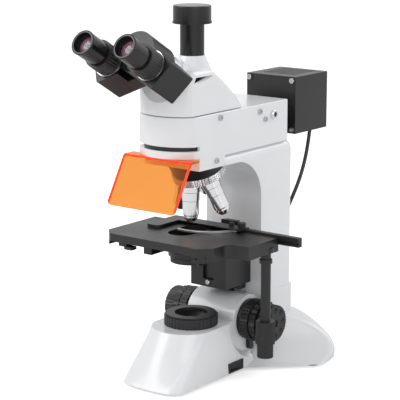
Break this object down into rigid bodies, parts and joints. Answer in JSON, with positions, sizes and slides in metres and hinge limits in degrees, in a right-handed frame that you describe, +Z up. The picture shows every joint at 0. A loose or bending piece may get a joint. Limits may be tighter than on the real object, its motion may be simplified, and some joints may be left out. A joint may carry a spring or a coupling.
{
  "type": "compound microscope",
  "caption": "Trinocular compound microscope with a turret of objectives, mechanical stage, incident-light fluorescence housing, orange light shield and lamp house.",
  "frame": {"origin": "middle of the footprint of the whole instrument's bounding box, on the table", "axes": "+Z up, +Y from the user towards the column, +X to the user's right"},
  "size_m": [0.2583, 0.4192, 0.471],
  "materials": {
    "white_paint": "smooth satin enamel",
    "black_paint": "satin enamel",
    "black_plastic": "fine matt grain",
    "black_rubber": "matt",
    "chrome": "polished",
    "steel": "turned",
    "aluminium": "milled",
    "glass": "coated, polished",
    "orange_acrylic": "clear, polished",
    "cable": "smooth"
  },
  "bodies": {
    "stand": {"base_casting": "white_paint", "base_plate": "black_paint", "rubber_feet": "black_rubber", "column": "white_paint", "guide_rail": "black_paint", "epi_housing": "white_paint", "epi_front_cover": "black_paint", "light_shield": "orange_acrylic", "lamp_coupling": "black_paint", "lamp_housing": "black_paint", "lamp_module": "aluminium", "power_inlet": "black_plastic", "switch_bezel": "black_plastic", "field_lens_cell": "black_paint", "field_lens": "glass", "base_led": "aluminium", "nosepiece_base": "black_paint", "machine_screws": "steel", "lamp_lead": "cable", "lead_plug": "black_plastic"},
    "rocker": {"power_rocker": "black_plastic"},
    "dimmer": {"dimmer_knob": "black_plastic"},
    "field_ring": {"field_ring": "black_plastic"},
    "coarse_drive": {"coarse_shaft": "steel", "coarse_knobs": "black_plastic"},
    "fine_drive": {"fine_knobs": "black_plastic"},
    "tension": {"tension_ring": "black_plastic"},
    "lock": {"lock_lever": "black_plastic"},
    "carriage": {"stage_bracket": "black_paint", "stage_base": "black_paint"},
    "stage": {"stage_plate": "black_paint"},
    "y_drive": {"y_knob": "black_plastic"},
    "x_drive": {"x_knob": "black_plastic"},
    "slide_carrier": {"x_rail": "black_paint", "slide_holder": "black_paint"},
    "finger": {"holder_finger": "chrome"},
    "condenser": {"condenser_cradle": "black_paint", "condenser_body": "black_paint", "condenser_lens": "glass"},
    "condenser_drive": {"condenser_knob": "black_plastic"},
    "iris": {"iris_ring": "black_plastic"},
    "nosepiece": {"nosepiece_turret": "chrome", "objective_4x": "chrome", "objective_10x": "chrome", "objective_40x": "chrome", "objective_100x": "chrome"},
    "filters": {"filter_turret": "black_paint", "filter_cubes": "black_paint"},
    "head": {"head_casting": "white_paint", "photo_tube": "white_paint", "hinge_hub": "white_paint"},
    "cap": {"photo_cap": "black_plastic"},
    "left_barrel": {"left_arm": "black_paint", "left_eyepiece": "black_plastic", "left_eye_lens": "glass"},
    "right_barrel": {"right_arm": "black_paint", "right_eyepiece": "black_plastic", "right_eye_lens": "glass"},
    "left_diopter": {"left_diopter_ring": "black_plastic"},
    "right_diopter": {"right_diopter_ring": "black_plastic"}
  },
  "joints": [
    {"name": "power_switch", "type": "hinge", "parent": "stand", "child": "rocker", "pos_m": [0.03155, -0.00639, 0.0115], "axis": [0, 0, 1], "range_deg": [0, 11]},
    {"name": "dimmer_turn", "type": "hinge", "parent": "stand", "child": "dimmer", "pos_m": [-0.06285, -0.0094, 0.026], "axis": [1, 0, 0], "range_deg": [-140, 140]},
    {"name": "field_ring_turn", "type": "hinge", "parent": "stand", "child": "field_ring", "pos_m": [-0.01285, -0.03939, 0.075], "axis": [0, 0, 1], "range_deg": [-60, 60]},
    {"name": "stage_focus", "type": "slide", "parent": "stand", "child": "carriage", "axis": [0, 0, 1], "range_m": [-0.011, 0.008]},
    {"name": "coarse_turn", "type": "hinge", "parent": "stand", "child": "coarse_drive", "pos_m": [-0.01285, 0.03161, 0.065], "axis": [1, 0, 0], "range_deg": [-108, 80]},
    {"name": "fine_turn", "type": "hinge", "parent": "stand", "child": "fine_drive", "pos_m": [-0.01285, 0.03161, 0.065], "axis": [1, 0, 0], "continuous": true},
    {"name": "tension_turn", "type": "hinge", "parent": "stand", "child": "tension", "pos_m": [-0.01285, 0.03161, 0.065], "axis": [1, 0, 0], "range_deg": [-60, 60]},
    {"name": "lock_lever_turn", "type": "hinge", "parent": "stand", "child": "lock", "pos_m": [-0.01285, 0.03161, 0.065], "axis": [1, 0, 0], "range_deg": [-50, 0]},
    {"name": "stage_y", "type": "slide", "parent": "carriage", "child": "stage", "axis": [0, 1, 0], "range_m": [-0.025, 0.025]},
    {"name": "y_knob_turn", "type": "hinge", "parent": "stage", "child": "y_drive", "pos_m": [0.09115, -0.0231, 0.1], "axis": [0, 0, 1], "range_deg": [-235, 235]},
    {"name": "stage_x", "type": "slide", "parent": "stage", "child": "slide_carrier", "axis": [1, 0, 0], "range_m": [-0.035, 0.035]},
    {"name": "x_knob_turn", "type": "hinge", "parent": "stage", "child": "x_drive", "pos_m": [0.09115, -0.0231, 0.1], "axis": [0, 0, 1], "range_deg": [-290, 290]},
    {"name": "finger_open", "type": "hinge", "parent": "slide_carrier", "child": "finger", "pos_m": [0.03715, -0.0154, 0.1916], "axis": [0, 0, 1], "range_deg": [0, 20], "stiffness_Nm_per_rad": 0.02, "springref_deg": -17.19},
    {"name": "condenser_lift", "type": "slide", "parent": "carriage", "child": "condenser", "axis": [0, 0, 1], "range_m": [-0.018, 0]},
    {"name": "condenser_knob_turn", "type": "hinge", "parent": "carriage", "child": "condenser_drive", "pos_m": [-0.04285, 0.0106, 0.14], "axis": [1, 0, 0], "range_deg": [-2, 104]},
    {"name": "iris_lever_turn", "type": "hinge", "parent": "condenser", "child": "iris", "pos_m": [-0.01285, -0.03939, 0.153], "axis": [0, 0, 1], "range_deg": [-45, 45]},
    {"name": "nosepiece_turn", "type": "hinge", "parent": "stand", "child": "nosepiece", "pos_m": [-0.01285, -0.01986, 0.2537], "axis": [0, 0.3665, -0.9304], "continuous": true},
    {"name": "filter_turret_turn", "type": "hinge", "parent": "stand", "child": "filters", "pos_m": [-0.01285, -0.06489, 0.303], "axis": [0, 0, 1], "continuous": true},
    {"name": "head_turn", "type": "hinge", "parent": "stand", "child": "head", "pos_m": [-0.01285, -0.03939, 0.343], "axis": [0, 0, 1], "continuous": true},
    {"name": "photo_cap_lift", "type": "slide", "parent": "head", "child": "cap", "axis": [0, 0, 1], "range_m": [0, 0.03]},
    {"name": "left_arm_swing", "type": "hinge", "parent": "head", "child": "left_barrel", "pos_m": [-0.01285, -0.10556, 0.40172], "axis": [0, -0.866, 0.5], "range_deg": [-15, 20.9]},
    {"name": "right_arm_swing", "type": "hinge", "parent": "head", "child": "right_barrel", "pos_m": [-0.01285, -0.10556, 0.40172], "axis": [0, -0.866, 0.5], "range_deg": [-20.9, 15]},
    {"name": "left_diopter_turn", "type": "hinge", "parent": "left_barrel", "child": "left_diopter", "pos_m": [-0.04435, -0.11406, 0.387], "axis": [0, -0.866, 0.5], "range_deg": [-90, 90]},
    {"name": "right_diopter_turn", "type": "hinge", "parent": "right_barrel", "child": "right_diopter", "pos_m": [0.01865, -0.11406, 0.387], "axis": [0, -0.866, 0.5], "range_deg": [-90, 90]}
  ],
  "couplings": [
    {"joint": "coarse_turn", "follows": "stage_focus", "rad_per_m": 166.67},
    {"joint": "y_knob_turn", "follows": "stage_y", "rad_per_m": 161.29},
    {"joint": "x_knob_turn", "follows": "stage_x", "rad_per_m": -142.86},
    {"joint": "condenser_knob_turn", "follows": "condenser_lift", "rad_per_m": -97.087},
    {"joint": "left_arm_swing", "follows": "right_arm_swing", "ratio": -1}
  ]
}
